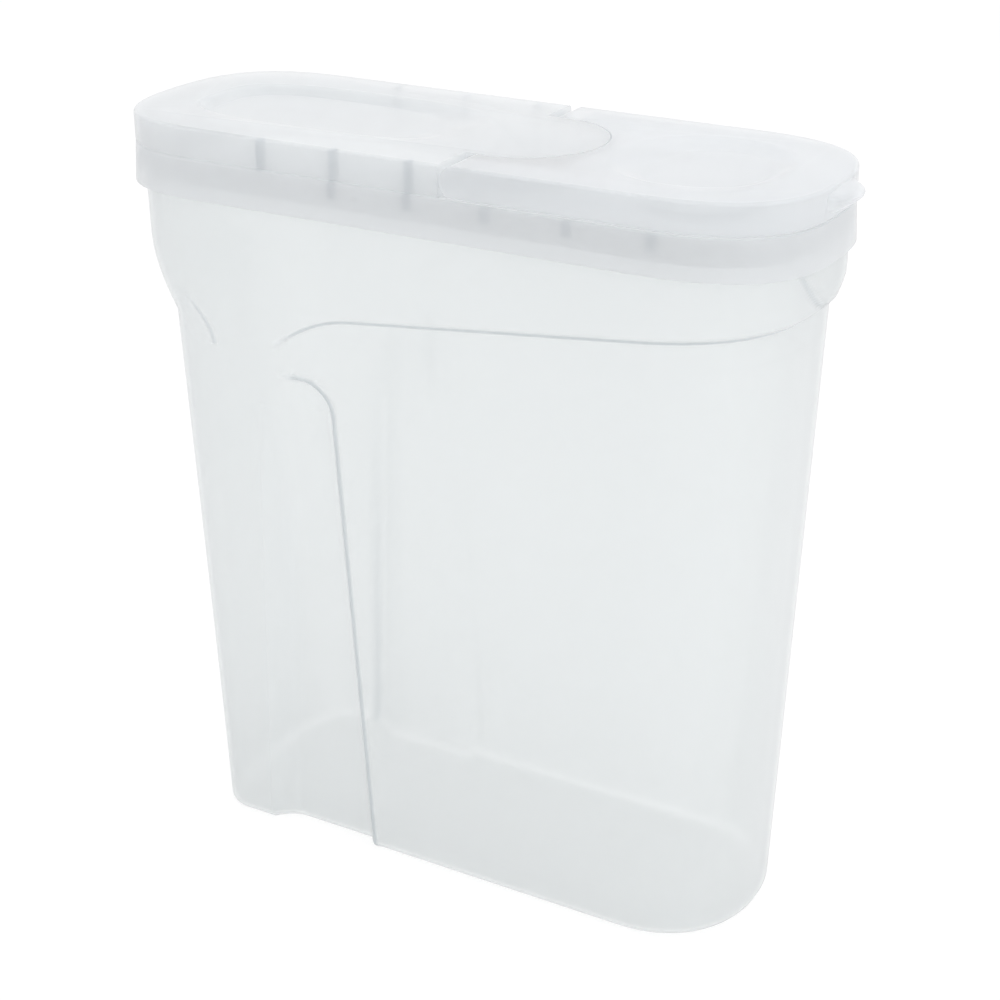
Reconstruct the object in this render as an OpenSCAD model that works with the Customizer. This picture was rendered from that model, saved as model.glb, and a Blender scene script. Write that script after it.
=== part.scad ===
// Tall narrow cereal container with a press-on lid and a flip-up pouring flap.
// X runs from the grip end to the pouring end, Y across, Z up from the base.
// The origin is on the base plane, under the middle of the lid.

/* [Overall] */
// Length over the lid
lid_len = 285; // [256:1:320]
// Width over the lid
lid_wid = 102; // [96:1:124]
// Height of the container up to its rim
body_h = 288; // [250:1:330]
// Length of the rounding at the grip end
grip_end_len = 52; // [44:1:54]
// Length of the rounding at the pouring end
pour_end_len = 57; // [50:1:62]
// Squareness of the grip end, 2 is an ellipse
grip_end_pow = 2.7; // [2.2:0.1:3.4]
// Squareness of the pouring end, 2 is an ellipse
pour_end_pow = 2.7; // [2.4:0.1:3.2]
// Squareness of the pouring end at the base
pour_foot_pow = 2.2; // [2:0.1:3]

/* [Container] */
// Wall thickness of the container
wall = 1.6; // [1.2:0.1:2.2]
// Thickness of the floor
floor_t = 2; // [1.4:0.1:3]
// Radius where the walls meet the base
base_r = 4.5; // [3.5:0.5:8]
// How much narrower each long side is at the base than at the rim
side_draft = 1.6; // [0.6:0.1:3]
// How much the grip end leans in from the rim to the base
grip_draft = 6; // [4:0.1:8]
// How much the pouring end leans in from the rim to the base
pour_draft = 7.5; // [5:0.5:11]
// How far the rim flange stands out of the wall
flange_w = 1.1; // [0.8:0.1:1.6]
// Height of the rim flange
flange_h = 4.6; // [3:0.2:6]

/* [Shoulder] */
// Height of the shoulder line at the middle of the container
shoulder_z = 237.4; // [225:0.2:240]
// Rise of the shoulder line per millimetre towards the pouring end
shoulder_rise = 0.113; // [0:0.005:0.12]
// Depth of the step under the shoulder line
shoulder_step = 1.3; // [0.6:0.1:2]
// Extra depth of the side panels at the base
panel_lean = 1.4; // [0:0.1:2]
// Extra depth of the step at the middle of the pouring end
pour_end_step = 2; // [0:0.1:3]
// Place where the shoulder line starts to bend down towards the grip end
shoulder_bend_x = -30; // [-36:1:-24]
// Radius of that bend
shoulder_bend_r = 50; // [44:1:60]
// Place where the step under the shoulder line has faded out
shoulder_fade_x = -66; // [-70:1:-60]
// Place where the step has its full depth
shoulder_full_x = -48; // [-54:1:-42]
// Height over which the step forms
shoulder_ramp = 3; // [2:0.5:5]

/* [Palm recess] */
// Depth of the palm recess in the grip end
palm_d = 12; // [8:0.1:14]
// How much deeper the palm recess is at the base
palm_lean = 12; // [6:0.5:14]
// Height of the crease above the palm recess, in the middle of the end
palm_z = 233; // [224:0.5:236]
// Drop of the crease from the middle of the end to the corner columns
palm_drop = 20; // [10:0.5:22]
// Height of the rounded overhang above the crease
palm_round = 25; // [16:0.5:28]
// Length along the lid over which the crease drops
palm_run = 42; // [36:1:46]
// Length over which the overhang dies out beside the columns
palm_blend = 12; // [6:1:16]

/* [Finger recesses] */
// Distance from the middle plane to the floor of a finger recess
finger_floor = 40; // [37:0.1:42]
// Place of the edge between a corner column and its finger recess, at the base
column_edge_x = -78; // [-82:0.5:-74]
// Lean of that edge per millimetre of height
column_lean = 0.027; // [0.01:0.001:0.04]
// Length of the hollow run from that edge to the recess floor
column_run = 12; // [8:0.5:14]
// Place of the front edge of a finger recess at the base
finger_front_x = -27; // [-34:0.5:-20]
// Lean of the front edge per millimetre of height
finger_lean = 0.0625; // [0.03:0.0025:0.08]
// Radius of the top front corner of a finger recess
finger_corner_r = 14; // [8:0.5:18]
// Height of the top of a finger recess
finger_top_z = 208; // [195:0.5:210]
// Width of the step at the front edge
finger_step_w = 4; // [3:0.1:5]
// Height over which a finger recess fades out at its back
finger_fade_back = 56; // [40:1:64]
// Height over which it fades out at its front
finger_fade_front = 16; // [12:1:24]
// How far the front of the fade starts above the recess top
finger_fade_rise = 4; // [2:0.5:6]

/* [Pouring beak] */
// How far the beak stands out of the wall
beak_out = 3; // [2:0.1:3.2]
// Half the width of the beak at its top
beak_half_w = 33; // [24:1:38]
// Height of the lowest point of the beak
beak_foot_z = 254; // [250:0.5:258]
// Height over which the beak swells out
beak_rise = 12; // [8:0.5:14]
// Slope of the beak's cheeks
beak_cheek = 0.6; // [0.4:0.05:0.8]

/* [Lid] */
// Thickness of the lid's plates
lid_t = 1.8; // [1.4:0.1:2.2]
// Thickness of the lid's skirt
skirt_t = 1.2; // [1:0.1:1.5]
// Free space between the skirt and the rim flange
skirt_clear = 0.35; // [0.3:0.05:0.8]
// Free space between the rim and the plate over it
seat_clear = 0.3; // [0.2:0.05:0.6]
// Height of the upper tier, flush with the flap
tier_h = 12; // [10:0.5:15]
// Height of the lower tier, from the deck's top to the skirt's lower edge
skirt_h = 15.5; // [14:0.5:20]
// How far the skirt flares out at its lower edge
skirt_flare = 0.9; // [0.4:0.1:1.2]
// Depth of the line between the two tiers
tier_step = 0.5; // [0.3:0.1:0.8]
// Half the height of that line
tier_line_h = 0.7; // [0.5:0.1:1]
// Rounding of the lid's top edge
edge_r = 1.4; // [0.8:0.1:2]
// Thickness of the ring that plugs the mouth
plug_t = 1.4; // [1:0.1:2]
// Depth of that ring below the deck
plug_h = 10; // [6:0.5:14]
// Free space between the ring and the container
plug_clear = 0.35; // [0.3:0.05:0.8]
// Number of stiffening ribs in the rim channel on each long side
rim_ribs = 3; // [1:1:3]
// Spacing of the ribs
rib_pitch = 32; // [24:0.5:36]
// Place of the rib nearest to the flap
rib_x = -1.5; // [-12:0.5:2]
// Thickness of a rib
rib_t = 1.4; // [1:0.1:2]

/* [Lid panel] */
// Length of the recessed panel in the fixed half of the lid
panel_len = 120; // [90:1:130]
// Width of the recessed panel
panel_wid = 60; // [44:1:64]
// Place of the panel's end nearest to the flap
panel_end_x = -1; // [-10:0.5:2]
// Depth of the panel
panel_d = 3.5; // [2:0.1:5]
// Width of the panel's sloping border
panel_slope = 5; // [2:0.5:8]
// Length of the panel's gentle ramp at the end nearest to the flap
panel_ramp = 22; // [12:0.5:30]
// Squareness of the panel's outline, 2 is an ellipse
panel_pow = 3.2; // [2.4:0.1:4]

/* [Flap and hinge] */
// Place of the hinge axis along the lid
hinge_x = 18.5; // [14:0.5:19.5]
// Radius of the lid's round tongue between the flap's arms
tongue_r = 31; // [26:0.5:33]
// Place of the tongue's centre along the lid
tongue_x = 19.5; // [19.5:0.5:24]
// Radius of the hinge pins
pin_r = 2; // [1.5:0.1:2.5]
// Running clearance around the pins
pin_clear = 0.05; // [0.02:0.01:0.08]
// Length of a pin inside the tongue
pin_len = 3.2; // [2.4:0.1:4]
// Free space between the tongue and the flap as it swings
arm_clear = 0.15; // [0.1:0.05:0.3]
// How much the rounding of the arms is larger than half their height
arm_over = 0.15; // [0.1:0.05:0.2]
// Free space behind the arms
arm_back = 0.6; // [0.5:0.05:0.8]
// Wall of the bosses round the pins
boss_t = 2.6; // [2.5:0.1:2.8]
// Wall thickness of the flap
flap_t = 1.5; // [1.2:0.1:2]
// Free space under the flap
flap_clear = 0.4; // [0.3:0.05:0.8]
// Depth of the dish in the flap
dish_d = 3.2; // [2:0.1:4]
// Width of the dish's sloping border at the sides
dish_slope = 9; // [6:0.5:10]
// Width of the sloping border towards the hinge
dish_slope_back = 16; // [10:0.5:17]
// Width of the sloping border towards the front
dish_slope_front = 11; // [8:0.5:12]
// How far the thumb tab stands out of the flap's front
tab_len = 7; // [5:0.5:9]
// Width of the thumb tab
tab_wid = 30; // [20:1:36]
// Height of the tab's tip above the flap's lower face
tab_tip_h = 7; // [5:0.5:8]
// Depth of the tab's root in the flap
tab_root = 9; // [7:0.5:11]

/* [Pour opening] */
// Place of the opening's centre along the lid
pour_x = 93; // [86:0.5:96]
// Half the length of the opening
pour_half_len = 20; // [14:0.5:22]
// Half the width of the opening
pour_half_wid = 26; // [18:0.5:28]
// Free space between the flap's plug and the opening
pour_clear = 0.5; // [0.4:0.05:1]
// How much narrower each side of the plug is at its foot
plug_draft = 1; // [0.8:0.1:2]
// Depth of the plug below the deck's top
pour_plug_h = 4; // [2:0.5:5]

/* [Hidden] */
end_steps = 10;
eps = 0.01;
big = 400;
deck_top = body_h + seat_clear + lid_t;
lid_top = deck_top + tier_h;
skirt_foot = deck_top - skirt_h;
flange_foot = body_h - flange_h;
lid_in = skirt_t + skirt_clear + flange_w;
half_len = lid_len / 2;
half_wid = lid_wid / 2;

// Superellipse factors, where angle 0 is the end's middle and 90 its side
function along(a, n) = pow(max(cos(a), 0), 2 / n);
function across(a, n) = pow(max(sin(a), 0), 2 / n);
function clamp(v) = min(max(v, 0), 1);
function smooth(v) = clamp(v) * clamp(v) * (3 - 2 * clamp(v));
function mix(a, b, t) = a + (b - a) * t;

// The lid's outline, inset by e, from the grip end's middle along one side to the pouring end's middle
function half_outline(e) = concat(
  [for (i = [0:end_steps]) let (a = 90 * i / end_steps)
    [-half_len + grip_end_len - (grip_end_len - e) * along(a, grip_end_pow),
     -(half_wid - e) * across(a, grip_end_pow)]],
  [for (i = [0:end_steps]) let (a = 90 - 90 * i / end_steps)
    [half_len - pour_end_len + (pour_end_len - e) * along(a, pour_end_pow),
     -(half_wid - e) * across(a, pour_end_pow)]]);
// Both sides of an outline whose half starts and ends on the middle plane
function mirrored(h) = concat(h, [for (i = [len(h) - 2:-1:1]) [h[i][0], -h[i][1]]]);
function outline(e) = mirrored(half_outline(e));
// An outline of an oval with squared shoulders, with half sizes a and b
oval_pow = 2.3;
oval_steps = 12;
function oval(cx, a, b, n = oval_pow) = mirrored(
  [for (i = [0:2 * oval_steps]) let (t = 180 * i / (2 * oval_steps))
    [cx - a * sign(cos(t)) * pow(abs(cos(t)), 2 / n), -b * pow(abs(sin(t)), 2 / n)]]);

// Triangles between the flat caps' mirrored points, which keeps a hollow outline's cap flat and whole
function ladder(n, at, up) = let (h = n / 2) [for (i = [0:h - 1])
  let (a = at + i, b = at + i + 1, c = at + (n - i - 1) % n, d = at + (n - i) % n)
  each i == 0 ? [up ? [a, b, c] : [a, c, b]]
    : i == h - 1 ? [up ? [a, b, d] : [a, d, b]]
    : up ? [[a, b, c], [a, c, d]] : [[a, c, b], [a, d, c]]];
// Triangles between one ring of n points and the next
function band(n, at, to, flip) = [for (i = [0:n - 1]) let (j = (i + 1) % n)
  each flip ? [[at + i, to + i, to + j], [at + i, to + j, at + j]]
    : [[at + i, to + j, to + i], [at + i, at + j, to + j]]];
// A solid through rings of mirrored outlines, from the lowest to the highest
module loft(rings) {
  n = len(rings[0]);
  m = len(rings);
  polyhedron(
    points = [for (r = rings) each r],
    faces = concat(
      ladder(n, 0, true),
      [for (k = [0:m - 2]) each band(n, k * n, (k + 1) * n, true)],
      ladder(n, (m - 1) * n, false)));
}
function at_z(pts, z) = [for (p = pts) [p[0], p[1], z]];

// Container: half sizes of the wall's outer face, before the steps and recesses
function grip_x(z) = half_len - lid_in - grip_draft * (1 - z / body_h);
function pour_x_at(z) = half_len - lid_in - pour_draft * (1 - z / body_h);
function side_y(z) = half_wid - lid_in - side_draft * (1 - z / body_h);
side_x0 = -(half_len - lid_in) + grip_end_len - lid_in;
side_x1 = half_len - pour_end_len;
finger_bend_z = finger_top_z - finger_corner_r;
finger_bend_x = finger_front_x - finger_lean * finger_bend_z - finger_corner_r;
// Front edge of a finger recess, straight and then round its top corner
function finger_x(z) = z < finger_bend_z ? finger_front_x - finger_lean * z
  : z < finger_top_z ? finger_bend_x + sqrt(pow(finger_corner_r, 2) - pow(z - finger_bend_z, 2))
  : finger_bend_x;

// Stations round half of the container: the first number is the stretch, the second the way along it
// Stretches: 0 grip end, 1 column, 2 hollow run, 3 recess floor, 4 front step, 5 side panel, 6 pouring end
// The panel's stations lie closer together towards the bend of the shoulder
panel_crowding = 1.6;
stations = concat(
  [for (i = [0:end_steps - 1]) [0, i / end_steps]],
  [for (i = [0:1]) [1, i / 2]],
  [for (i = [0:3]) [2, i / 4]],
  [for (i = [0:3]) [3, i / 4]],
  [for (i = [0:1]) [4, i / 2]],
  [for (i = [0:9]) [5, pow(i / 10, panel_crowding)]],
  [for (i = [0:end_steps]) [6, i / end_steps]]);
function column_x(z) = column_edge_x + column_lean * z;
function side_at(s, z) = s[0] == 1 ? mix(side_x0, column_x(z), s[1])
  : s[0] == 2 ? column_x(z) + column_run * s[1]
  : s[0] == 3 ? mix(column_x(z) + column_run, finger_x(z) - finger_step_w, s[1])
  : s[0] == 4 ? mix(finger_x(z) - finger_step_w, finger_x(z), s[1])
  : mix(finger_x(z), side_x1, s[1]);
// Plan place of a station at height z with the wall's face inset by e
function plan(s, z, e, end_e = 0) = s[0] == 0
  ? let (a = 90 * s[1])
    [side_x0 - (grip_x(z) + side_x0 - e - end_e) * along(a, grip_end_pow),
     -(side_y(z) - e) * across(a, grip_end_pow)]
  : s[0] == 6
  ? let (a = 90 * (1 - s[1]), n = mix(pour_foot_pow, pour_end_pow, z / body_h))
    [side_x1 + (pour_x_at(z) - side_x1 - e - end_e) * along(a, n), -(side_y(z) - e) * across(a, n)]
  : [side_at(s, z), -(side_y(z) - e)];

// Shoulder and palm crease: height, height of the rounding above it, and how strongly they show
palm_x0 = -half_len + lid_in;
palm_x1 = palm_x0 + palm_run;
function shoulder_at(x) = shoulder_z + shoulder_rise * x
  - pow(max(shoulder_bend_x - x, 0), 2) / (2 * shoulder_bend_r);
function crease_z(x) = x < palm_x1 ? palm_z - palm_drop * (x - palm_x0) / (palm_x1 - palm_x0)
  : x < shoulder_fade_x
  ? mix(palm_z - palm_drop, shoulder_at(shoulder_fade_x), (x - palm_x1) / (shoulder_fade_x - palm_x1))
  : shoulder_at(x);
function crease_round(x) = mix(palm_round, shoulder_ramp,
  smooth((x - palm_x1 + palm_blend) / (shoulder_fade_x - palm_x1)));
function palm_depth(z) = palm_d + palm_lean * (1 - z / palm_z);
function shoulder_depth(x, z) = smooth((x - shoulder_fade_x) / (shoulder_full_x - shoulder_fade_x))
  * (shoulder_step + panel_lean * (1 - z / shoulder_z));
// How far the ramp above a crease has come, 0 at its start and 1 at the crease
function ramp(x, z) = clamp((crease_z(x) + crease_round(x) - z) / crease_round(x));
// Finger recess: how much of its depth a station has, and how it fades towards its top
function finger_share(s) = s[0] == 2 ? 1 - pow(1 - s[1], 2) : s[0] == 3 ? 1 : s[0] == 4 ? 1 - s[1] : 0;
function finger_fade(s, z) = let (t = s[0] < 3 ? 0 : s[0] == 3 ? s[1] : 1)
  smooth((finger_top_z + finger_fade_rise * t - z) / mix(finger_fade_back, finger_fade_front, t));
// Beak: a swelling of the wall under the lid's front, with its foot at the middle
function beak_at(y, z) = let (h = clamp((z - beak_foot_z) / beak_rise), w = beak_half_w * sqrt(h))
  min(beak_out * (1 - pow(1 - h, 2)), max(w - abs(y), 0) * beak_cheek)
  * clamp((flange_foot - z) / (flange_foot - beak_foot_z - beak_rise));

// One point of the container's wall, with its face inset by e
function wall_point(s, z, e) = let (
  p0 = plan(s, body_h, 0), x = p0[0],
  end_e = s[0] == 0 ? palm_depth(z) * pow(ramp(x, z), 2) : s[0] == 6 ? pour_end_step * ramp(x, z) : 0,
  step = shoulder_depth(x, z) * ramp(x, z),
  deep = finger_share(s) * finger_fade(s, z) * (side_y(z) - finger_floor - step),
  beak = s[0] == 6 ? beak_at(p0[1], z) : 0,
  q = plan(s, z, e + step + deep - beak, end_e))
  [q[0], q[1], z];
// One point of the rounded foot, where a runs from 0 at the wall to 90 on the base
function foot_point(s, r, a, z0, e) = let (p = wall_point(s, z0 + r * (1 - sin(a)), e + r * (1 - cos(a))))
  [p[0], p[1], z0 + r * (1 - sin(a))];

foot_angles = [0, 30, 60, 90];
// Heights of the rows between the rim and the foot, which follow the crease and the recess top
top_rows = 4;
ramp_rows = 4;
corner_rows = 5;
function row_heights(s) = let (
  x = plan(s, body_h, 0)[0], c = crease_z(x), r = c + crease_round(x),
  top = flange_foot)
  concat(
    [for (i = [0:top_rows - 1]) i == 0 ? top : mix(skirt_foot, r, (i - 1) / (top_rows - 1))],
    [for (i = [0:ramp_rows - 1]) mix(r, c, i / ramp_rows)],
    [c, min(mix(c, finger_top_z, 0.3), finger_top_z + finger_fade_rise)],
    [for (i = [0:corner_rows]) finger_bend_z + finger_corner_r * cos(90 * i / corner_rows)],
    [finger_bend_z * 0.8, finger_bend_z * 0.5]);
function full(h) = concat(h, [for (i = [len(h) - 2:-1:1]) [h[i][0], -h[i][1], h[i][2]]]);
row_count = len(row_heights(stations[0]));
function wall_ring(k, e) = full([for (s = stations) let (z = row_heights(s)[k]) wall_point(s, z, e)]);
function foot_ring(k, r, z0, e) = full([for (s = stations) foot_point(s, r, foot_angles[k], z0, e)]);

module container_shell() {
  inner_r = base_r - wall;
  // Outer face from the base to the rim, then the inner face from the rim down to the floor
  rings = concat(
    [for (k = [len(foot_angles) - 1:-1:0]) foot_ring(k, base_r, 0, 0)],
    [for (k = [row_count - 1:-1:0]) wall_ring(k, 0)],
    [full([for (s = stations) let (p = wall_point(s, body_h, -flange_w)) [p[0], p[1], flange_foot]])],
    [full([for (s = stations) wall_point(s, body_h, -flange_w)])],
    [full([for (s = stations) wall_point(s, body_h, wall)])],
    [for (k = [0:row_count - 1]) wall_ring(k, wall)],
    [for (k = [0:len(foot_angles) - 1]) foot_ring(k, inner_r, floor_t, wall)]);
  loft(rings);
}
module container() color([0.91, 0.94, 0.94]) container_shell();

flap_foot = deck_top + flap_clear;
hinge_z = (flap_foot + lid_top) / 2;
arm_r = (lid_top - flap_foot) / 2 + arm_over;
pocket_x = hinge_x - arm_r - arm_back;
wall_x = pocket_x - lid_t;
// Gap round the tongue that lets the flap swing clear of it
tongue_gap = sqrt(pow(tongue_r, 2) + pow(lid_top - hinge_z, 2)) - tongue_r + arm_clear;
boss_r = pin_r + boss_t;
ring_in = lid_in + wall + plug_clear;
panel_x = panel_end_x - panel_len / 2;
tongue_step = 6;

module prism(pts, z0, z1) translate([0, 0, z0]) linear_extrude(z1 - z0) polygon(pts);
// The lid's round tongue between the flap's arms, grown by e
module tongue(e, z0, z1) prism(concat(
  [[wall_x - lid_t, -tongue_r - e]],
  [for (a = [-90:tongue_step:90]) [tongue_x + (tongue_r + e) * cos(a), (tongue_r + e) * sin(a)]],
  [[wall_x - lid_t, tongue_r + e]]), z0, z1);
function top_edge() = [for (a = [0, 45, 90])
  at_z(outline(edge_r * (1 - cos(a))), lid_top - edge_r * (1 - sin(a)))];

// Lid: a skirt, a deck over the mouth, and a raised back half with the tongue
module lid_block() loft(concat(
  [at_z(outline(-skirt_flare), skirt_foot),
   at_z(outline(0), deck_top - tier_line_h),
   at_z(outline(tier_step), deck_top + flap_clear / 2),
   at_z(outline(0), deck_top + flap_clear + tier_line_h)],
  top_edge()));
module lid_hollow() {
  loft([at_z(outline(skirt_t - skirt_flare), skirt_foot - eps), at_z(outline(skirt_t), deck_top - lid_t)]);
  difference() {
    intersection() {
      prism(outline(lid_t), deck_top - 2 * lid_t, lid_top - lid_t);
      union() {
        translate([-big, -big, skirt_foot]) cube([big + wall_x, 2 * big, big]);
        tongue(-skirt_t, skirt_foot, skirt_foot + big);
      }
    }
    lid_panel(lid_t, lid_t);
  }
}
// Room for the flap, in front of the raised half and round the tongue
module flap_pocket() difference() {
  translate([pocket_x, -big, deck_top]) cube([big, 2 * big, big]);
  tongue(0, skirt_foot, big);
}
// Hollow of the panel, grown by e and lowered by z_off
module lid_panel(e, z_off) loft([
  at_z(oval(panel_x + (panel_slope - panel_ramp) / 2, (panel_len - panel_slope - panel_ramp) / 2 + e,
    panel_wid / 2 - panel_slope + e, panel_pow), lid_top - panel_d - z_off),
  at_z(oval(panel_x, panel_len / 2 + e, panel_wid / 2 + e, panel_pow), lid_top + eps - z_off)]);
// Ring that plugs the mouth, carried up to the top plate in the raised half
module plug_ring() difference() {
  prism(outline(ring_in), deck_top - lid_t - plug_h, lid_top - lid_t / 2);
  prism(outline(ring_in + plug_t), 0, big);
  translate([wall_x + lid_t / 2, -big, deck_top - lid_t / 2]) cube([big, 2 * big, big]);
}
// Ribs across the channel between the ring and the outer wall
module channel_ribs() intersection() {
  difference() {
    prism(outline(lid_t / 2), deck_top - lid_t / 2, lid_top - lid_t / 2);
    prism(outline(ring_in + plug_t / 2), 0, big);
  }
  for (k = [0:rim_ribs - 1]) translate([rib_x - k * rib_pitch, -big, 0]) cube([rib_t, 2 * big, big]);
}
module at_pins() for (side = [-1, 1])
  translate([hinge_x, 0, hinge_z]) rotate([90 * side, 0, 0]) children();
module bosses() at_pins() translate([0, 0, tongue_r - pin_len - boss_t / 2])
  cylinder(r = boss_r, h = pin_len + boss_t / 2 - skirt_t / 2, $fn = 48);
module bores() at_pins() translate([0, 0, tongue_r - pin_len - boss_t])
  cylinder(r = pin_r + pin_clear, h = pin_len + 2 * boss_t, $fn = 48);
module pour_hole() prism(oval(pour_x, pour_half_len, pour_half_wid), deck_top - 2 * lid_t, deck_top + eps);
module lid() color([0.92, 0.95, 0.97]) difference() {
  union() {
    difference() {
      lid_block();
      lid_hollow();
      flap_pocket();
      lid_panel(0, 0);
    }
    plug_ring();
    channel_ribs();
    bosses();
  }
  bores();
  pour_hole();
}

// Flap: a shell open underneath, with arms to the pins, a dish on top and a plug under the dish
module arms_cut() {
  translate([hinge_x, -big, 0]) cube([big, 2 * big, 2 * big]);
  translate([hinge_x, big, hinge_z]) rotate([90, 0, 0]) cylinder(r = arm_r, h = 2 * big, $fn = 96);
}
module thumb_tab() loft([
  at_z(oval(half_len - tab_root, tab_root - flap_t / 2, tab_wid / 2), flap_foot + flap_t / 2),
  at_z(oval(half_len - tab_root, tab_root + tab_len, tab_wid / 2), flap_foot + tab_tip_h),
  at_z(oval(half_len - tab_root, tab_root - flap_t / 2, tab_wid / 2), lid_top - edge_r)]);
// The dish's top edge is grown towards the hinge and the front, with its lower side e thicker
module dish(e, z_off) loft([
  at_z(oval(pour_x, pour_half_len + e, pour_half_wid + e), lid_top - dish_d - z_off),
  at_z(oval(pour_x + (dish_slope_front - dish_slope_back) / 2,
    pour_half_len + e + (dish_slope_front + dish_slope_back) / 2,
    pour_half_wid + e + dish_slope), lid_top + eps - z_off)]);
module flap_hollow() difference() {
  intersection() {
    prism(outline(flap_t), flap_foot - 1, lid_top - flap_t);
    translate([hinge_x + boss_r, -big, 0]) cube([big, 2 * big, 2 * big]);
  }
  tongue(tongue_gap + flap_t, skirt_foot, big);
  dish(flap_t, flap_t);
}
function plug_oval(e, z) = let (lean = plug_draft * (deck_top - z) / pour_plug_h)
  at_z(oval(pour_x, pour_half_len - pour_clear - e - lean, pour_half_wid - pour_clear - e - lean), z);
module pour_plug() difference() {
  loft([plug_oval(0, deck_top - pour_plug_h), plug_oval(0, lid_top - dish_d - flap_t / 2)]);
  loft([plug_oval(flap_t, deck_top - pour_plug_h - 1), plug_oval(flap_t, lid_top - dish_d - flap_t)]);
}
module flap() color([0.92, 0.95, 0.97]) {
  difference() {
    intersection() {
      union() {
        loft(concat([at_z(outline(0), flap_foot)], top_edge()));
        thumb_tab();
      }
      arms_cut();
    }
    tongue(tongue_gap, skirt_foot, big);
    flap_hollow();
    dish(0, 0);
  }
  pour_plug();
  at_pins() translate([0, 0, tongue_r - pin_len]) cylinder(r = pin_r, h = pin_len + 2 * boss_t, $fn = 48);
}

container();
lid();
flap();
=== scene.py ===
import bpy
import bmesh
from math import sin, cos, sqrt, radians, pi
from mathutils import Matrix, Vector


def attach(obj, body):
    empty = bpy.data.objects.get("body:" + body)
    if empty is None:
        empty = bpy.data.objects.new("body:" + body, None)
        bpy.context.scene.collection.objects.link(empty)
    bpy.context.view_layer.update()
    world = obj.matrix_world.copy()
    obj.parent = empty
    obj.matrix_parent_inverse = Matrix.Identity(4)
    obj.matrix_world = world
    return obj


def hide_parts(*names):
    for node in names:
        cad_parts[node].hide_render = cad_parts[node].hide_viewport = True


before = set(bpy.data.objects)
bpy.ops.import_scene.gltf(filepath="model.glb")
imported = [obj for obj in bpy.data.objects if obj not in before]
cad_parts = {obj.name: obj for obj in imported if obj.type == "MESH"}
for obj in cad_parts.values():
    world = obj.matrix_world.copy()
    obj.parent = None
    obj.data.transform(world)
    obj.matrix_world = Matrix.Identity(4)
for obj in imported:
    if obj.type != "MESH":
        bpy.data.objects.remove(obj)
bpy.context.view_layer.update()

# Camera: placed from the photograph's outline, looking down on the near side from the pouring end.
# A 72 mm lens on a 36 mm sensor, with no shift, roll or depth of field.
look_at = (0.0087, 0.0, 0.1526)
camera_turn = radians(29.231)
camera_rise = radians(24.543)
camera_away = 0.8013
camera = bpy.data.objects.new("camera", bpy.data.cameras.new("camera"))
camera.data.lens = 72
camera.data.sensor_width = 36
camera.data.clip_start = 0.02
camera.location = (look_at[0] + camera_away * sin(camera_turn) * cos(camera_rise),
                   look_at[1] - camera_away * cos(camera_turn) * cos(camera_rise),
                   look_at[2] + camera_away * sin(camera_rise))
camera.rotation_euler = (pi / 2 - camera_rise, 0, camera_turn)
bpy.context.scene.collection.objects.link(camera)
bpy.context.scene.camera = camera
bpy.context.scene.view_settings.view_transform = "Standard"

# Studio: a pale matte sheet under the product, a white room and two soft square lamps.
# The camera sees the sheet and the room as white, with the product's faint shadow kept.
studio_white = (1.0, 1.0, 1.0, 1.0)
floor_half, floor_z = 3, -0.0004


def node_maker(tree):
    """Gives a function that adds a node and feeds its sockets with values or links, in order or by name."""
    def feed(socket, given):
        if isinstance(given, bpy.types.NodeSocket):
            tree.links.new(given, socket)
        elif given is not None:
            socket.default_value = given

    def add(kind, *in_order, **by_name):
        made = tree.nodes.new(kind)
        for name, given in by_name.items():
            if hasattr(made, name):
                setattr(made, name, given)
        for socket, given in zip(made.inputs, in_order):
            feed(socket, given)
        for name, given in by_name.items():
            if not hasattr(made, name):
                feed(made.inputs[name.replace("_", " ")], given)
        return made
    return add


floor_mesh = bpy.data.meshes.new("floor")
floor_mesh.from_pydata([(floor_half * x, floor_half * y, floor_z)
                        for x, y in ((-1, -1), (1, -1), (1, 1), (-1, 1))], [], [(0, 1, 2, 3)])
floor = bpy.data.objects.new("floor", floor_mesh)
bpy.context.scene.collection.objects.link(floor)
floor_paper = bpy.data.materials.new("floor_paper")
floor_paper.use_nodes = True
floor_paper.node_tree.nodes.clear()
add = node_maker(floor_paper.node_tree)
paper = add("ShaderNodeBsdfDiffuse", Color=(0.8, 0.8, 0.8, 1))
paper_seen = add("ShaderNodeBsdfDiffuse", Color=(0.22, 0.22, 0.22, 1))
paper_glow = add("ShaderNodeEmission", Color=studio_white, Strength=0.82)
seen_both = add("ShaderNodeAddShader", paper_seen.outputs[0], paper_glow.outputs[0])
camera_ray = add("ShaderNodeLightPath").outputs["Is Camera Ray"]
sheet = add("ShaderNodeMixShader", camera_ray, paper.outputs[0], seen_both.outputs[0])
add("ShaderNodeOutputMaterial", sheet.outputs[0])
floor_mesh.materials.append(floor_paper)

world = bpy.data.worlds.new("studio")
bpy.context.scene.world = world
world.use_nodes = True
world.node_tree.nodes.clear()
add = node_maker(world.node_tree)
room = add("ShaderNodeBackground", Color=(0.985, 0.99, 1.0, 1), Strength=0.88)
backdrop = add("ShaderNodeBackground", Color=studio_white, Strength=1.0)
camera_ray = add("ShaderNodeLightPath").outputs["Is Camera Ray"]
around = add("ShaderNodeMixShader", camera_ray, room.outputs[0], backdrop.outputs[0])
add("ShaderNodeOutputWorld", around.outputs[0])


def soft_box(name, place, size, power, mirrored):
    """A square lamp aimed at the product, which glossy faces may or may not mirror."""
    lamp = bpy.data.lights.new(name, "AREA")
    lamp.shape = "SQUARE"
    lamp.size = size
    lamp.energy = power
    holder = bpy.data.objects.new(name, lamp)
    holder.location = place
    aim = (look_at[0] - place[0], look_at[1] - place[1], look_at[2] - place[2])
    holder.rotation_euler = Vector(aim).to_track_quat("-Z", "Y").to_euler()
    holder.visible_glossy = mirrored
    bpy.context.scene.collection.objects.link(holder)


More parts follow.
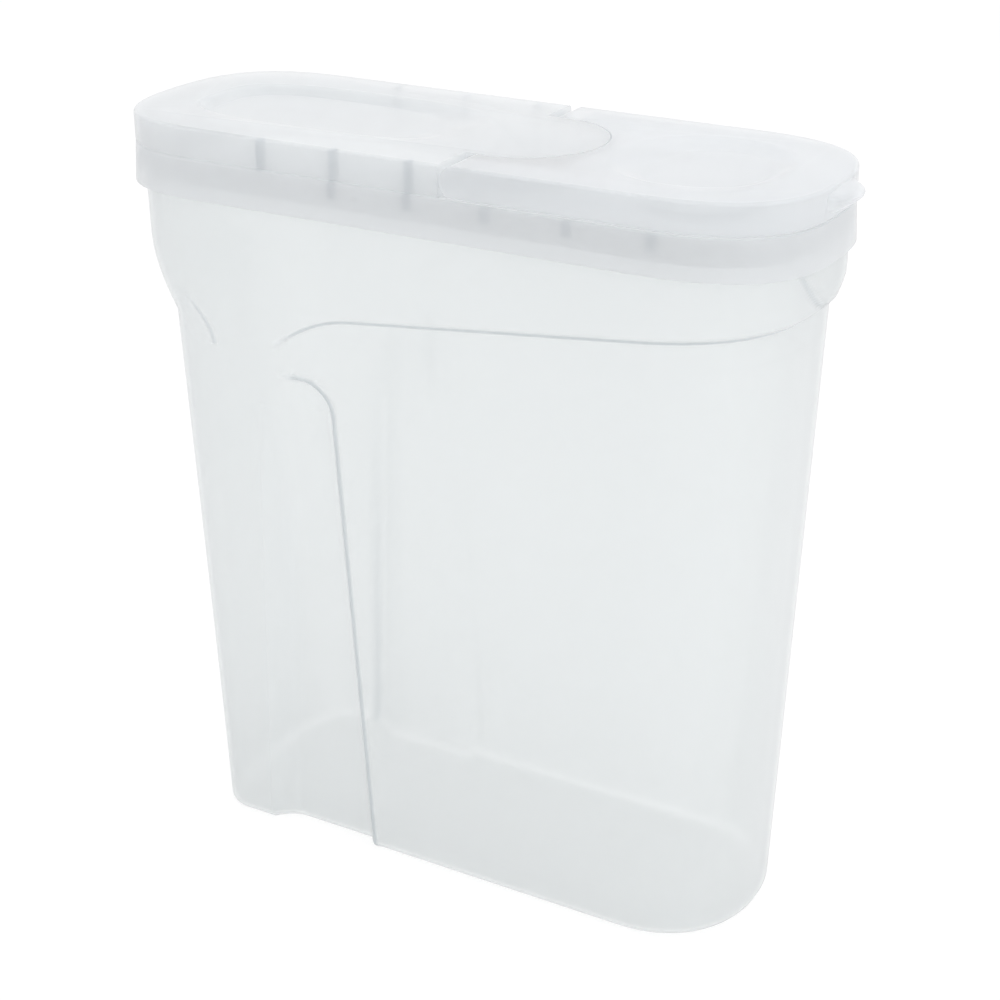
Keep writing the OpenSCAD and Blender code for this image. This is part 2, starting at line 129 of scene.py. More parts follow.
soft_box("soft_box_right", place=(1.2, -0.6, 0.8), size=1.0, power=2.5, mirrored=True)
soft_box("soft_box_top", place=(0.1, 0.4, 1.6), size=1.4, power=6.0, mirrored=False)

# Container: one injection-moulded tub of frosted polypropylene, 1.6 mm thick, with a rim flange.
# Each side has a shoulder step and a finger recess behind a corner column.
# The grip end has a palm recess, and the pouring end a beak.
lid_length, lid_width = 0.285, 0.102
body_height = 0.288
grip_end, pour_end = 0.052, 0.057
grip_square, pour_square, pour_square_foot = 2.7, 2.7, 2.2
wall_t, floor_t, foot_round = 0.0016, 0.002, 0.0045
side_draft, grip_draft, pour_draft = 0.0016, 0.006, 0.0075
flange_out, flange_high = 0.0011, 0.0046
lid_skirt_t, lid_skirt_gap = 0.0012, 0.00035
lid_in = lid_skirt_t + lid_skirt_gap + flange_out
side_from = -(lid_length / 2 - lid_in) + grip_end - lid_in
side_to = lid_length / 2 - pour_end
flange_foot = body_height - flange_high
skirt_foot = 0.2746


def clamp(v):
    return min(max(v, 0.0), 1.0)


def smooth(v):
    v = clamp(v)
    return v * v * (3 - 2 * v)


def mix(a, b, t):
    return a + (b - a) * t


# The shoulder's line rises towards the pouring end and bends down past the finger recess.
shoulder_z, shoulder_rise = 0.2374, 0.113
shoulder_bend_x, shoulder_bend = -0.030, 0.1
# Over the palm recess the crease runs lower and softer, and the shoulder fades in after it.
palm_crease_z, palm_crease_drop, palm_crease_end_z = 0.233, 0.020, 0.213
crease_from = -lid_length / 2 + lid_in
crease_to = crease_from + 0.042
fade_x, fade_run = -0.066, 0.018
crease_soft, crease_sharp, crease_lead = 0.025, 0.003, 0.012


def shoulder_line(x):
    return shoulder_z + shoulder_rise * x - max(shoulder_bend_x - x, 0) ** 2 / shoulder_bend


def crease_line(x):
    """The height at which the wall under the rim has stepped in."""
    if x < crease_to:
        return palm_crease_z - palm_crease_drop * (x - crease_from) / (crease_to - crease_from)
    if x < fade_x:
        return mix(palm_crease_end_z, shoulder_line(fade_x), (x - crease_to) / (fade_x - crease_to))
    return shoulder_line(x)


def crease_high(x):
    """How tall the ramp above the crease is."""
    return mix(crease_soft, crease_sharp, smooth((x - crease_to + crease_lead) / (fade_x - crease_to)))


# The finger recess: a floor between the column and a leaning front edge, which an arc closes at the top.
finger_x, finger_lean = -0.027, 0.0625
arc_z, arc_r, arc_top = 0.194, 0.014, 0.208
finger_half_width, finger_top_rise = 0.040, 0.004
finger_soft, finger_sharp = 0.056, 0.016
column_x, column_lean = -0.078, 0.027
hollow_run, step_run, panel_crowding = 0.012, 0.004, 1.6


def finger_front(z):
    """The recess's front edge at a height."""
    if z < arc_z:
        return finger_x - finger_lean * z
    middle = finger_x - finger_lean * arc_z - arc_r
    return middle + sqrt(max(arc_r ** 2 - (z - arc_z) ** 2, 0)) if z < arc_top else middle


# The beak: its edge is a parabola that opens upwards, and it dies out under the flange.
beak_half_width, beak_tip_z, beak_rise = 0.0233, 0.2567, 0.0173
beak_foot, beak_run, beak_head = 0.254, 0.012, 0.266
beak_deep, beak_slope = 0.003, 0.6


def beak_edge(z):
    """Half the beak's width at a height."""
    return beak_half_width * sqrt(max(z - beak_tip_z, 0) / beak_rise)


def beak(y, z):
    """How far the beak stands out of the wall."""
    climb = clamp((z - beak_foot) / beak_run)
    out = min(beak_deep * (1 - (1 - climb) ** 2), max(beak_edge(z) - abs(y), 0) * beak_slope)
    return out * clamp((flange_foot - z) / (flange_foot - beak_head))


# Stretches round one half of the plan, with the stations in each; the ends are superellipses.
stretch_steps = {"grip": 44, "column": 3, "hollow": 7, "recess": 7, "step": 8, "panel": 24, "pour": 84}
grip_crowding = 1.35
palm_deep, pour_step = 0.012, 0.002
side_step, side_step_more = 0.0013, 0.0014


def side_half(z):
    return lid_width / 2 - lid_in - side_draft * (1 - z / body_height)


def plan_point(stretch, t, z, inset, end_inset=0.0):
    half_side = side_half(z) - inset
    if stretch == "grip":
        reach = (lid_length / 2 - lid_in - grip_draft * (1 - z / body_height)
                 + side_from - inset - end_inset)
        a, n = pi / 2 * t, grip_square
        return (side_from - reach * max(cos(a), 0) ** (2 / n), -half_side * max(sin(a), 0) ** (2 / n))
    if stretch == "pour":
        reach = (lid_length / 2 - lid_in - pour_draft * (1 - z / body_height)
                 - side_to - inset - end_inset)
        a, n = pi / 2 * (1 - t), mix(pour_square_foot, pour_square, z / body_height)
        return (side_to + reach * max(cos(a), 0) ** (2 / n), -half_side * max(sin(a), 0) ** (2 / n))
    edge = finger_front(z)
    column = column_x + column_lean * z
    x = {"column": lambda: mix(side_from, column, t),
         "hollow": lambda: mix(column, column + hollow_run, t),
         "recess": lambda: mix(column + hollow_run, edge - step_run, t),
         "step": lambda: mix(edge - step_run, edge, t),
         "panel": lambda: mix(edge, side_to, t ** panel_crowding)}[stretch]()
    return (x, -half_side)


def wall_point(stretch, t, z, inset):
    """The plan point with the shoulder's step, the recesses and the beak added."""
    x, y = plan_point(stretch, t, body_height, 0)
    ramp = clamp((crease_line(x) + crease_high(x) - z) / crease_high(x))
    end_inset = beak_out = recess = 0.0
    if stretch == "grip":
        end_inset = (palm_deep + palm_deep * (1 - z / palm_crease_z)) * ramp ** 2
    if stretch == "pour":
        end_inset = pour_step * smooth(ramp)
        beak_out = beak(y, z)
    step = (smooth((x - fade_x) / fade_run) * (side_step + side_step_more * (1 - z / shoulder_z))
            * smooth(ramp))
    if stretch in ("hollow", "recess", "step"):
        along = {"hollow": 0, "recess": t, "step": 1}[stretch]
        share = {"hollow": 1 - (1 - t) ** 2, "recess": 1, "step": 1 - smooth(t)}[stretch]
        fade = smooth((arc_top + finger_top_rise * along - z) / mix(finger_soft, finger_sharp, along))
        recess = share * fade * (side_half(z) - finger_half_width - step)
    return plan_point(stretch, t, z, inset + step + recess - beak_out, end_inset)


# Rows down one station, from the flange to the foot: they crowd at the shoulder and the recess's arc.
skirt_rows, ramp_rows, upper_rows, lower_rows, arc_rows, wall_rows = 16, 12, 4, 3, 12, 9
fade_top_most, fade_share, wall_low = 0.212, 0.3, 0.012


def spaced(high, low, count):
    """Heights from one level down towards the next, which the next run starts with."""
    return [mix(high, low, i / count) for i in range(count)]


def row_heights(stretch, t):
    x = plan_point(stretch, t, body_height, 0)[0]
    crease, start = crease_line(x), crease_line(x) + crease_high(x)
    fade_top = min(mix(crease, arc_top, fade_share), fade_top_most)
    rows = [flange_foot] + spaced(skirt_foot, start, skirt_rows) + spaced(start, crease, ramp_rows)
    rows += spaced(crease, fade_top, upper_rows) + spaced(fade_top, arc_top, lower_rows)
    rows += [arc_z + arc_r * cos(pi / 2 * i / arc_rows) for i in range(arc_rows + 1)]
    return rows + [mix(arc_z, wall_low, i / wall_rows) for i in range(1, wall_rows + 1)]


def whole_ring(half):
    """A ring from its near half, mirrored to the far side."""
    return half + [(x, -y, z) for x, y, z in half[-2:0:-1]]


def wall_ring(k, inset):
    return whole_ring([(*wall_point(stretch, t, rows[k], inset), rows[k])
                       for (stretch, t), rows in zip(stations, station_rows)])


def foot_ring(turn, radius, low, inset):
    z = low + radius * (1 - sin(turn))
    return whole_ring([(*wall_point(s, t, z, inset + radius * (1 - cos(turn))), z) for s, t in stations])


def flange_ring(inset, z):
    return whole_ring([(*wall_point(s, t, body_height, inset), z) for s, t in stations])


def skin(name, rings):
    """A closed solid through rings of equal length, from the lowest outside to the last inside."""
    n = len(rings[0])
    faces = [tuple(range(n))[::-1]]
    for k in range(0, (len(rings) - 1) * n, n):
        faces += [(k + i, k + (i + 1) % n, k + n + (i + 1) % n, k + n + i) for i in range(n)]
    faces.append(tuple((len(rings) - 1) * n + i for i in range(n)))
    mesh = bpy.data.meshes.new(name)
    mesh.from_pydata([p for r in rings for p in r], [], faces)
    made = bpy.data.objects.new(name, mesh)
    bpy.context.scene.collection.objects.link(made)
    return made


def round_off(piece, angle):
    for face in piece.data.polygons:
        face.use_smooth = True
    piece.data.set_sharp_from_angle(angle=radians(angle))


stations = [(name, 1 - (1 - i / n) ** grip_crowding if name == "grip" else i / n)
            for name, n in stretch_steps.items() for i in range(n)] + [("pour", 1.0)]
station_rows = [row_heights(*s) for s in stations]
row_count = len(station_rows[0])
foot_turns = [pi / 2 * i / 6 for i in range(7)]
flange_ease, rim_ease, mouth_ease = 0.0003, 0.0005, 0.0004
outer_rings = [foot_ring(a, foot_round, 0, 0) for a in foot_turns[::-1]]
outer_rings += [wall_ring(k, 0) for k in range(row_count - 1, -1, -1)]
outer_rings += [flange_ring(-flange_out + flange_ease, flange_foot),
                flange_ring(-flange_out, flange_foot + flange_ease),
                flange_ring(-flange_out, body_height - rim_ease),
                flange_ring(-flange_out + rim_ease, body_height),
                flange_ring(wall_t - mouth_ease, body_height)]
inner_rings = [flange_ring(wall_t, body_height - mouth_ease)]
inner_rings += [wall_ring(k, wall_t) for k in range(row_count)]
inner_rings += [foot_ring(a, foot_round - wall_t, floor_t, wall_t) for a in foot_turns]
container = skin("container_shell", outer_rings + inner_rings)
round_off(container, angle=40)

# Painted shade: the plastic is painted darker and less clear in thin lines, where the mould's edges bend
# the wall and shade falls.
# Each line has its place and its half width, in metres.
shoulder_fold, shoulder_fold_run = 0.42, 0.012
recess_back, recess_top, recess_side = -0.064, 0.212, 0.03
recess_fold_out, recess_fold, recess_fold_run = 0.0004, 0.0018, 0.01
palm_front, palm_low, palm_high = -0.09, 0.2165, 0.2385
palm_x, palm_lean, palm_tall, palm_bend = -0.0925, 0.0145, 0.019, 1.8
palm_fold, palm_fold_run = 0.0018, 0.01
beak_back, beak_fold_in, beak_fold = 0.1, 0.0012, 0.002
inner_column_x, inner_column_lean, inner_column_side = -0.081, 0.025, 0.04
inner_fold, inner_top, inner_fold_run = 0.003, 0.2, 0.02
palm_strength, beak_strength, inner_strength = 0.8, 0.6, 1.6
# Painted light: the clear share is raised at the floor and at the rim inside the skirt
clear_more, clear_below, clear_above = 0.25, floor_t + 0.0005, skirt_foot + 0.001


def fold_line(distance, width):
    return smooth(1 - abs(distance) / width)


def recess_edge(x, z):
    """Distance on the side wall from the finger recess's rounded edge, positive outside it."""
    if z < arc_z:
        return x - finger_front(z)
    middle = finger_front(arc_top)
    return sqrt((x - middle) ** 2 + (z - arc_z) ** 2) - arc_r if x > middle else z - arc_top


def painted_shade(x, y, z):
    """Painted shade on the outer face: dark lines at the shoulder, the finger recess, the palm recess's
    crease and the beak.
    """
    shade = 0.0
    if x > fade_x:
        climbed = (z - crease_line(x)) / crease_high(x)
        shade = fold_line(climbed - 0.5, shoulder_fold) * smooth((x - fade_x) / shoulder_fold_run)
    if recess_back < x < 0 and z < recess_top and abs(y) > recess_side:
        line = fold_line(recess_edge(x, z) - recess_fold_out, recess_fold)
        shade = max(shade, line * smooth((x - recess_back) / recess_fold_run))
    if x < palm_front and palm_low < z < palm_high:
        palm_edge = palm_x - palm_lean * ((z - palm_low) / palm_tall) ** palm_bend
        fade = smooth((palm_high - z) / palm_fold_run)
        shade = palm_strength * fold_line(x - palm_edge, palm_fold) * fade
    if x > beak_back and z > beak_tip_z:
        shade = max(shade, beak_strength * fold_line(beak_edge(z) - abs(y) - beak_fold_in, beak_fold))
    return shade


def column_painted_shade(x, y, z):
    """Painted shade on the inner face: a dark line where the column's flat wall bends into the finger
    recess.
    """
    if abs(y) <= inner_column_side:
        return 0.0
    line = fold_line(x - (inner_column_x + inner_column_lean * z), inner_fold)
    return inner_strength * line * smooth((inner_top - z) / inner_fold_run)


def painted_light_clearing(z):
    """Painted light: how much clearer than the wall the plastic is made, more at the floor and at the rim
    inside the skirt, which brightens these places.
    """
    return clear_more if z < clear_below or z > clear_above else 0.0


def mark(piece, name, values):
    """Keeps one number for each vertex, which the plastic reads by its name."""
    piece.data.attributes.new(name, "FLOAT", "POINT").data.foreach_set("value", values)


outer_count = len(outer_rings) * len(outer_rings[0])
points = [tuple(v.co) for v in container.data.vertices]
# Painted shade: dark lines along the outer face's folds and along the inner face's column line
mark(container, "painted_shade", [painted_shade(*p) for p in points[:outer_count]]
     + [column_painted_shade(*p) for p in points[outer_count:]])
# Painted light: the floor and the rim inside the skirt are made clearer, which brightens them
mark(container, "painted_light_share", [painted_light_clearing(z) for x, y, z in points])


def frosted_plastic(name, body_colour, clear_share, through_share, grain_bump):
    """Frosted polypropylene: part of the light goes straight through, the rest is scattered both ways."""
    material = bpy.data.materials.new(name)
    material.use_nodes = True
    material.node_tree.nodes.clear()
    add = node_maker(material.node_tree)
    others = (None,) * 5  # a Mix node's sockets for numbers and vectors, between its factor and its colours
    # The plastic's colour: faintly cloudy, and painted darker as shade at a fold on a face turned to the
    # eye
    place = add("ShaderNodeTexCoord").outputs["Object"]
    cloud = add("ShaderNodeTexNoise", Vector=place, Scale=18.0, Detail=3.0, Roughness=0.5)
    dull_colour = (body_colour[0] * 0.975, body_colour[1] * 0.98, body_colour[2] * 0.98, 1)
    tone = add("ShaderNodeMix", cloud.outputs["Fac"], *others, dull_colour, (*body_colour, 1),
               data_type="RGBA")
    far_face = add("ShaderNodeNewGeometry").outputs["Backfacing"]
    near_face = add("ShaderNodeMath", 1.0, far_face, operation="SUBTRACT")
    fold = add("ShaderNodeAttribute", attribute_name="painted_shade")
    seen_painted_shade = add("ShaderNodeMath", fold.outputs["Fac"], near_face.outputs[0],
                    operation="MULTIPLY").outputs[0]
    # the painted shade's colour, multiplied in where the fold attribute is high
    colour = add("ShaderNodeMix", seen_painted_shade, *others, tone.outputs[2], (0.74, 0.77, 0.79, 1),
                 data_type="RGBA", blend_type="MULTIPLY").outputs[2]
    # The scattered light: a fine moulded grain, half thrown back and half let through
    grain = add("ShaderNodeTexNoise", Vector=place, Scale=1400.0, Detail=2.0, Roughness=0.6)
    bump = add("ShaderNodeBump", Strength=grain_bump, Distance=0.0001,
               Height=grain.outputs["Fac"]).outputs[0]
    front = add("ShaderNodeBsdfDiffuse", Color=colour, Roughness=0.4, Normal=bump)
    back = add("ShaderNodeBsdfTranslucent", Color=colour, Normal=bump)
    milky = add("ShaderNodeMixShader", through_share, front.outputs[0], back.outputs[0])
    # The clear share: less at a glancing angle and under a fold's painted shade, and raised or lowered as
    # painted light where painted_light_share says so
    facing = add("ShaderNodeLayerWeight", Blend=0.35)
    share = add("ShaderNodeMapRange", Value=facing.outputs["Facing"], To_Min=clear_share,
                To_Max=clear_share * 0.6).outputs[0]
    light_share_node = add("ShaderNodeAttribute", attribute_name="painted_light_share")
    lit_share = add("ShaderNodeMath", light_share_node.outputs["Fac"], share, share, operation="MULTIPLY_ADD")
    clear_under_shade = add("ShaderNodeMath", seen_painted_shade, -0.9, 1.0, operation="MULTIPLY_ADD")
    see_through = add("ShaderNodeMath", lit_share.outputs[0], clear_under_shade.outputs[0], operation="MULTIPLY")
    clear = add("ShaderNodeBsdfTransparent", Color=(0.995, 1.0, 1.0, 1))
    wall = add("ShaderNodeMixShader", see_through.outputs[0], milky.outputs[0], clear.outputs[0])
    # The soft shine, mostly from the faces turned to the eye
    shine = add("ShaderNodeBsdfGlossy", Color=(1, 1, 1, 1), Roughness=0.28, Normal=bump)
    edge = add("ShaderNodeFresnel", IOR=1.45, Normal=bump)
    outside = add("ShaderNodeMapRange", Value=far_face, To_Min=1.0, To_Max=0.2)
    gloss = add("ShaderNodeMath", edge.outputs[0], outside.outputs[0], operation="MULTIPLY")
    surface = add("ShaderNodeMixShader", gloss.outputs[0], wall.outputs[0], shine.outputs[0])
    add("ShaderNodeOutputMaterial", surface.outputs[0])
    return material


container.data.materials.append(frosted_plastic("frosted_container", (0.972, 0.982, 0.983),
                                                clear_share=0.72, through_share=0.5, grain_bump=0.15))
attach(container, "container")
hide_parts("container")

# Lid: one moulding with a skirt over the rim, a deck over the mouth and a raised back half.
# The back half has a shallow panel and a round tongue, and a ring under the deck plugs the mouth.
lid_t = 0.0018
deck_gap, rear_rise, skirt_flare = 0.0003, 0.012, 0.0009
flap_lift, arm_bulge, arm_gap = 0.0004, 0.00015, 0.0006
deck_top = body_height + deck_gap + lid_t
lid_top = deck_top + rear_rise
hinge_x, arm_foot = 0.0185, deck_top + flap_lift
hinge_z = (arm_foot + lid_top) / 2
arm_r = (lid_top - arm_foot) / 2 + arm_bulge
pocket_x = hinge_x - arm_r - arm_gap
wall_x = pocket_x - lid_t
tongue_x, tongue_r, tongue_steps = 0.0195, 0.031, 60
ring_gap, ring_t, ring_deep = 0.00035, 0.0014, 0.010
ring_in = lid_in + wall_t + ring_gap
edge_r, edge_steps = 0.0014, 5
plan_steps, oval_steps = 40, 64
groove_deep, groove_foot, groove_middle, groove_head = 0.0005, -0.0007, 0.0002, 0.0011
panel_x, panel_half, panel_wide, panel_square = -0.061, 0.060, 0.030, 3.2
panel_deep, panel_slope, panel_ramp, panel_steps = 0.0035, 0.005, 0.022, 10
far_out, hair = 0.4, 0.00001
lid_plastic = frosted_plastic("frosted_lid", (0.972, 0.978, 0.988), clear_share=0.66,
                              through_share=0.4, grain_bump=0.2)


def outline(inset, z):
    """The lid's plan, drawn in by inset: a superellipse at each end and straight sides."""
    half = []
    for i in range(plan_steps + 1):
        a = pi / 2 * i / plan_steps
        half.append((-lid_length / 2 + grip_end
                     - (grip_end - inset) * max(cos(a), 0) ** (2 / grip_square),
                     -(lid_width / 2 - inset) * max(sin(a), 0) ** (2 / grip_square), z))
    for i in range(plan_steps, -1, -1):
        a = pi / 2 * i / plan_steps
        half.append((lid_length / 2 - pour_end
                     + (pour_end - inset) * max(cos(a), 0) ** (2 / pour_square),
                     -(lid_width / 2 - inset) * max(sin(a), 0) ** (2 / pour_square), z))
    return whole_ring(half)


def oval(middle, a, b, z, square=2.3):
    """A superellipse with half axes a and b, as one ring."""
    return whole_ring([(middle - a * (1 if cos(t) > 0 else -1) * abs(cos(t)) ** (2 / square),
                        -b * abs(sin(t)) ** (2 / square), z)
                       for t in [pi * i / oval_steps for i in range(oval_steps + 1)]])


def slab(name, plan, low, high):
    return skin(name, [[(p[0], p[1], low) for p in plan], [(p[0], p[1], high) for p in plan]])


def block(name, low, high):
    plan = [(low[0], low[1]), (high[0], low[1]), (high[0], high[1]), (low[0], high[1])]
    return slab(name, plan, low[2], high[2])


def hinge_rod(name, y_from, y_to, radius, sides=48):
    """A round bar on the hinge's line."""
    turns = [2 * pi * i / sides for i in range(sides)]
    rod = skin(name, [[(hinge_x + radius * sin(a), y, hinge_z + radius * cos(a)) for a in turns]
                      for y in (y_from, y_to)])
    mesh = bmesh.new()
    mesh.from_mesh(rod.data)
    bmesh.ops.recalc_face_normals(mesh, faces=mesh.faces)
    mesh.to_mesh(rod.data)
    mesh.free()
    return rod


def apply_modifiers(piece):
    seen = piece.evaluated_get(bpy.context.evaluated_depsgraph_get())
    piece.data = bpy.data.meshes.new_from_object(seen)
    piece.modifiers.clear()


def carve(piece, operation, *others):
    """Joins, cuts or keeps the overlap of solids, and removes the ones used up."""
    for other in others:
        step = piece.modifiers.new("carve", "BOOLEAN")
        step.operation = operation
        step.object = other
        step.solver = "EXACT"
        apply_modifiers(piece)
        bpy.data.objects.remove(other)
    return piece


def tongue(grow, low, high):
    r = tongue_r + grow
    arc = [(tongue_x + r * cos(pi * (i / tongue_steps - 0.5)), r * sin(pi * (i / tongue_steps - 0.5)))
           for i in range(tongue_steps + 1)]
    return slab("cut", [(wall_x - lid_t, -r)] + arc + [(wall_x - lid_t, r)], low, high)


def top_rounding():
    return [outline(edge_r * (1 - cos(a)), lid_top - edge_r * (1 - sin(a)))
            for a in [pi / 2 * i / edge_steps for i in range(edge_steps + 1)]]


def panel_hollow(grow, drop):
    """The panel's hollow, with a gentle ramp at the flap's end, grown and lowered for its underside."""
    return skin("cut", [oval(panel_x + (panel_slope - panel_ramp) / 2 * (1 - t),
                             panel_half - (panel_slope + panel_ramp) / 2 * (1 - t) + grow,
                             panel_wide - panel_slope * (1 - t) + grow,
                             lid_top - panel_deep * (1 - smooth(t)) - drop + hair * (t == 1),
                             panel_square)
                        for t in [i / panel_steps for i in range(panel_steps + 1)]])


def ease_edges(piece, width, angle=35):
    """A small moulded radius on every sharp edge."""
    step = piece.modifiers.new("radius", "BEVEL")
    step.width = width
    step.segments = 2
    step.limit_method = "ANGLE"
    step.angle_limit = radians(angle)
    apply_modifiers(piece)
    round_off(piece, angle)


lid = skin("lid_shell", [outline(-skirt_flare, skirt_foot), outline(0, deck_top + groove_foot),
                         outline(groove_deep, deck_top + groove_middle),
                         outline(0, deck_top + groove_head)] + top_rounding())
lid.data.materials.append(lid_plastic)
skirt_room = skin("cut", [outline(lid_skirt_t - skirt_flare, skirt_foot - hair),
                          outline(lid_skirt_t, deck_top - lid_t)])
back_room = slab("cut", outline(lid_t, 0), deck_top - 2 * lid_t, lid_top - lid_t)
back_reach = carve(block("cut", (-far_out, -far_out, skirt_foot), (wall_x, far_out, far_out)),
                   "UNION", tongue(-lid_skirt_t, skirt_foot, far_out))
carve(back_room, "INTERSECT", back_reach)
carve(back_room, "DIFFERENCE", panel_hollow(lid_t, lid_t))
pocket = carve(block("cut", (pocket_x, -far_out, deck_top), (far_out, far_out, far_out)),
               "DIFFERENCE", tongue(0, skirt_foot, 2 * far_out))
carve(lid, "DIFFERENCE", skirt_room, back_room, pocket, panel_hollow(0, 0))
plug_ring = slab("ring", outline(ring_in, 0), deck_top - lid_t - ring_deep, lid_top - lid_t / 2)
carve(plug_ring, "DIFFERENCE", slab("cut", outline(ring_in + ring_t, 0), 0, far_out),
      block("cut", (wall_x + lid_t / 2, -far_out, deck_top - lid_t / 2), (far_out, far_out, far_out)))
carve(lid, "UNION", plug_ring)

# Lid ribs: thin moulded webs across the rim channel, and low lugs of the same pitch inside the skirt.
# They stiffen the skirt and centre the lid on the rim flange, and are painted darker as shade so that they
# show as dark marks through the plastic.
rib_tree = bpy.data.node_groups.new("rib_rows", "GeometryNodeTree")
rib_tree.interface.new_socket("Ribs", in_out="OUTPUT", socket_type="NodeSocketGeometry")
rib_inputs = {label: rib_tree.interface.new_socket(label, in_out="INPUT", socket_type=kind).identifier
              for label, kind in (("Ribs in a Row", "NodeSocketInt"), ("Row Length", "NodeSocketFloat"),
                                  ("Rows Apart", "NodeSocketFloat"), ("Middle", "NodeSocketVector"),
                                  ("Rib Size", "NodeSocketVector"), ("Plastic", "NodeSocketMaterial"))}
add = node_maker(rib_tree)
given = add("NodeGroupInput").outputs
grid = add("GeometryNodeMeshGrid", Size_X=given["Row Length"], Size_Y=given["Rows Apart"],
           Vertices_X=given["Ribs in a Row"], Vertices_Y=2)
moved = add("GeometryNodeSetPosition", Geometry=grid.outputs["Mesh"], Offset=given["Middle"])
one_rib = add("GeometryNodeMeshCube", Size=given["Rib Size"])
placed = add("GeometryNodeInstanceOnPoints", Points=moved.outputs["Geometry"],
             Instance=one_rib.outputs["Mesh"])
real = add("GeometryNodeRealizeInstances", Geometry=placed.outputs["Instances"])
coated = add("GeometryNodeSetMaterial", Geometry=real.outputs["Geometry"], Material=given["Plastic"])
add("NodeGroupOutput", coated.outputs["Geometry"])


def rib_rows(name, count, first_x, width, y_from, y_to, z_from, z_to):
    """Two facing rows of ribs, one on each long side of the lid, as a plain mesh."""
    row = bpy.data.objects.new(name, bpy.data.meshes.new("ribs"))
    bpy.context.scene.collection.objects.link(row)
    step = row.modifiers.new("ribs", "NODES")
    step.node_group = rib_tree
    length = rib_pitch * (count - 1)
    for label, value in (("Ribs in a Row", count), ("Row Length", length), ("Rows Apart", y_from + y_to),
                         ("Middle", (first_x + length / 2, 0.0, (z_from + z_to) / 2)),
                         ("Rib Size", (width, y_to - y_from, z_to - z_from)), ("Plastic", lid_plastic)):
        step[rib_inputs[label]] = value
    apply_modifiers(row)
    row.data.name = name
    mark(row, "painted_shade", [rib_painted_shade] * len(row.data.vertices))
    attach(row, "lid")


# painted shade on the ribs and lugs, which darkens their colour
rib_painted_shade = 0.9
rib_pitch, rib_last_x = 0.032, -0.0015
rib_t, lug_wide, lug_gap = 0.0014, 0.0036, 0.0003
half_width = lid_width / 2
rib_rows("lid_ribs", count=3, first_x=rib_last_x - 2 * rib_pitch, width=rib_t,
         y_from=half_width - ring_in - ring_t / 2, y_to=half_width - lid_t / 2,
         z_from=deck_top - lid_t / 2, z_to=lid_top - lid_t / 2)
rib_rows("lid_lugs", count=5, first_x=rib_last_x - rib_pitch, width=lug_wide,
         y_from=half_width - lid_skirt_t - lug_gap, y_to=half_width - lid_skirt_t / 2,
         z_from=flange_foot, z_to=deck_top - lid_t / 2)

# Hinge bosses and pouring opening: two round bosses carry the flap's pins inside the tongue.
# The opening is an oval hole in the deck, which the flap's plug closes.
boss_r, boss_in, boss_out = 0.0046, 0.0045, 0.0006
bore_r, bore_in, bore_out = 0.00205, 0.0058, 0.002
pour_x, pour_a, pour_b = 0.093, 0.020, 0.026
skirt_painted_light, painted_light_below = -0.3, deck_top - 0.0001
for side in (-1, 1):
    boss = hinge_rod("boss", side * (tongue_r - boss_in), side * (tongue_r - boss_out), boss_r)
    carve(lid, "UNION", boss)
for side in (-1, 1):
    bore = hinge_rod("cut", side * (tongue_r - bore_in), side * (tongue_r + bore_out), bore_r)
    carve(lid, "DIFFERENCE", bore)
opening = slab("cut", oval(pour_x, pour_a, pour_b, 0), deck_top - 2 * lid_t, deck_top + hair)
carve(lid, "DIFFERENCE", opening)
ease_edges(lid, width=0.00035)
# Painted light: the skirt below the deck is made less clear, so the dark inside shows less through it and
# the lower band reads brighter
mark(lid, "painted_light_share", [skirt_painted_light if v.co.z < painted_light_below else 0.0 for v in lid.data.vertices])
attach(lid, "lid")
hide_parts("lid")

# Flap: a shell open underneath, whose two arms turn on pins beside the tongue.
# A dish in its top stands over a plug that closes the pouring opening, and a tab at the front lifts it.
flap_t, foot_ease, room_below = 0.0015, 0.0003, 0.001
tongue_play, arm_solid = 0.00015, 0.0046
tab_root, tab_out, tab_half, tab_widest, tab_slim = 0.009, 0.007, 0.015, 0.007, 0.00075
tab_x = lid_length / 2 - tab_root
tab_under_steps, tab_over_steps, tab_under_bend, tab_over_bend = 6, 5, 1.4, 0.8
dish_deep, dish_back, dish_long, dish_wide, dish_steps = 0.0032, 0.0025, 0.0135, 0.009, 8
plug_deep, plug_cut_deep, plug_gap, plug_lean = 0.004, 0.005, 0.0005, 0.001
pin_r, pin_in, pin_out = 0.002, 0.0032, 0.002


def tab_ring(bulge, z):
    return oval(tab_x, tab_root - tab_slim + (tab_out + tab_slim) * bulge, tab_half, z)


def dish(grow, drop):
    """The dish's hollow, grown and lowered for its underside."""
    return skin("dish", [oval(mix(pour_x, pour_x - dish_back, t), pour_a + grow + dish_long * t,
                              pour_b + grow + dish_wide * t,
                              lid_top - dish_deep * (1 - smooth(t)) - drop + hair * (t == 1))
                         for t in [i / dish_steps for i in range(dish_steps + 1)]])


def plug_ring_at(grow, z):
    lean = plug_lean * (deck_top - z) / plug_deep
    return oval(pour_x, pour_a - plug_gap - grow - lean, pour_b - plug_gap - grow - lean, z)


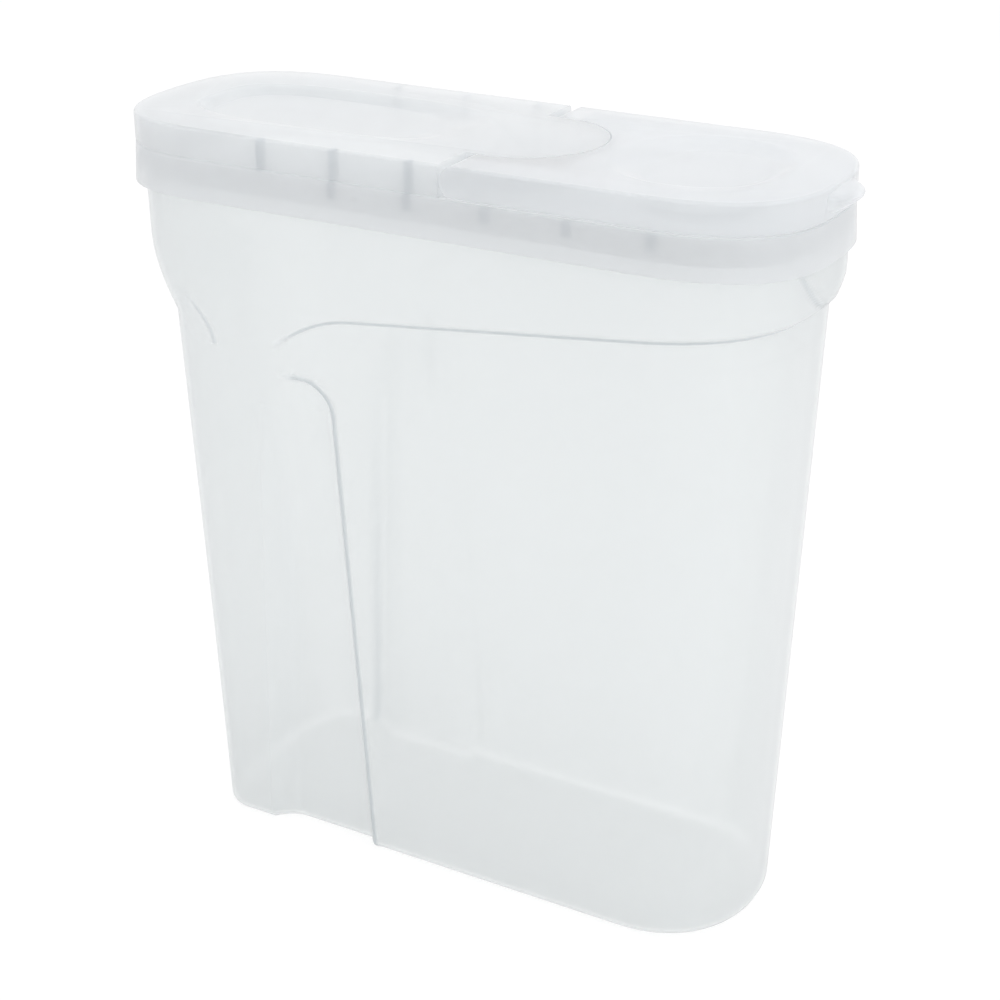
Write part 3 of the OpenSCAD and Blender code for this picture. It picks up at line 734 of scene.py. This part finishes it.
flap_foot = [outline(foot_ease, arm_foot), outline(0, arm_foot + foot_ease)]
flap = skin("flap_shell", flap_foot + top_rounding())
tab_under = [tab_ring(sin(pi / 2 * t) ** tab_under_bend, arm_foot + tab_slim + (tab_widest - tab_slim) * t)
             for t in [i / tab_under_steps for i in range(tab_under_steps + 1)]]
tab_over = [tab_ring(cos(pi / 2 * t) ** tab_over_bend, mix(arm_foot + tab_widest, lid_top - edge_r, t))
            for t in [i / tab_over_steps for i in range(1, tab_over_steps + 1)]]
carve(flap, "UNION", skin("tab", tab_under + tab_over))
arms = carve(block("cut", (hinge_x, -far_out, 0), (far_out, far_out, far_out)), "UNION",
             hinge_rod("cut", -far_out * 0.99, far_out * 0.99, arm_r, sides=96))
carve(flap, "INTERSECT", arms)
tongue_gap = sqrt(tongue_r ** 2 + (lid_top - hinge_z) ** 2) - tongue_r + tongue_play
carve(flap, "DIFFERENCE", tongue(tongue_gap, skirt_foot, far_out))
room_under = slab("cut", outline(flap_t, 0), arm_foot - room_below, lid_top - flap_t)
front_half = block("cut", (hinge_x + arm_solid, -far_out, 0), (far_out, far_out, far_out))
carve(room_under, "INTERSECT", front_half)
carve(room_under, "DIFFERENCE", tongue(tongue_gap + flap_t, skirt_foot, far_out), dish(flap_t, flap_t))
carve(flap, "DIFFERENCE", room_under, dish(0, 0))
dish_floor = lid_top - dish_deep
plug = skin("plug", [plug_ring_at(0, deck_top - plug_deep), plug_ring_at(0, dish_floor - flap_t / 2)])
plug_room = skin("cut", [plug_ring_at(flap_t, deck_top - plug_cut_deep),
                         plug_ring_at(flap_t, dish_floor - flap_t)])
carve(flap, "UNION", carve(plug, "DIFFERENCE", plug_room))
for side in (-1, 1):
    carve(flap, "UNION", hinge_rod("pin", side * (tongue_r - pin_in), side * (tongue_r + pin_out), pin_r))
ease_edges(flap, width=0.0003)
flap.data.materials.append(frosted_plastic("frosted_flap", (0.965, 0.972, 0.985), clear_share=0.6,
                                           through_share=0.4, grain_bump=0.2))
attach(flap, "flap")
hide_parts("flap")
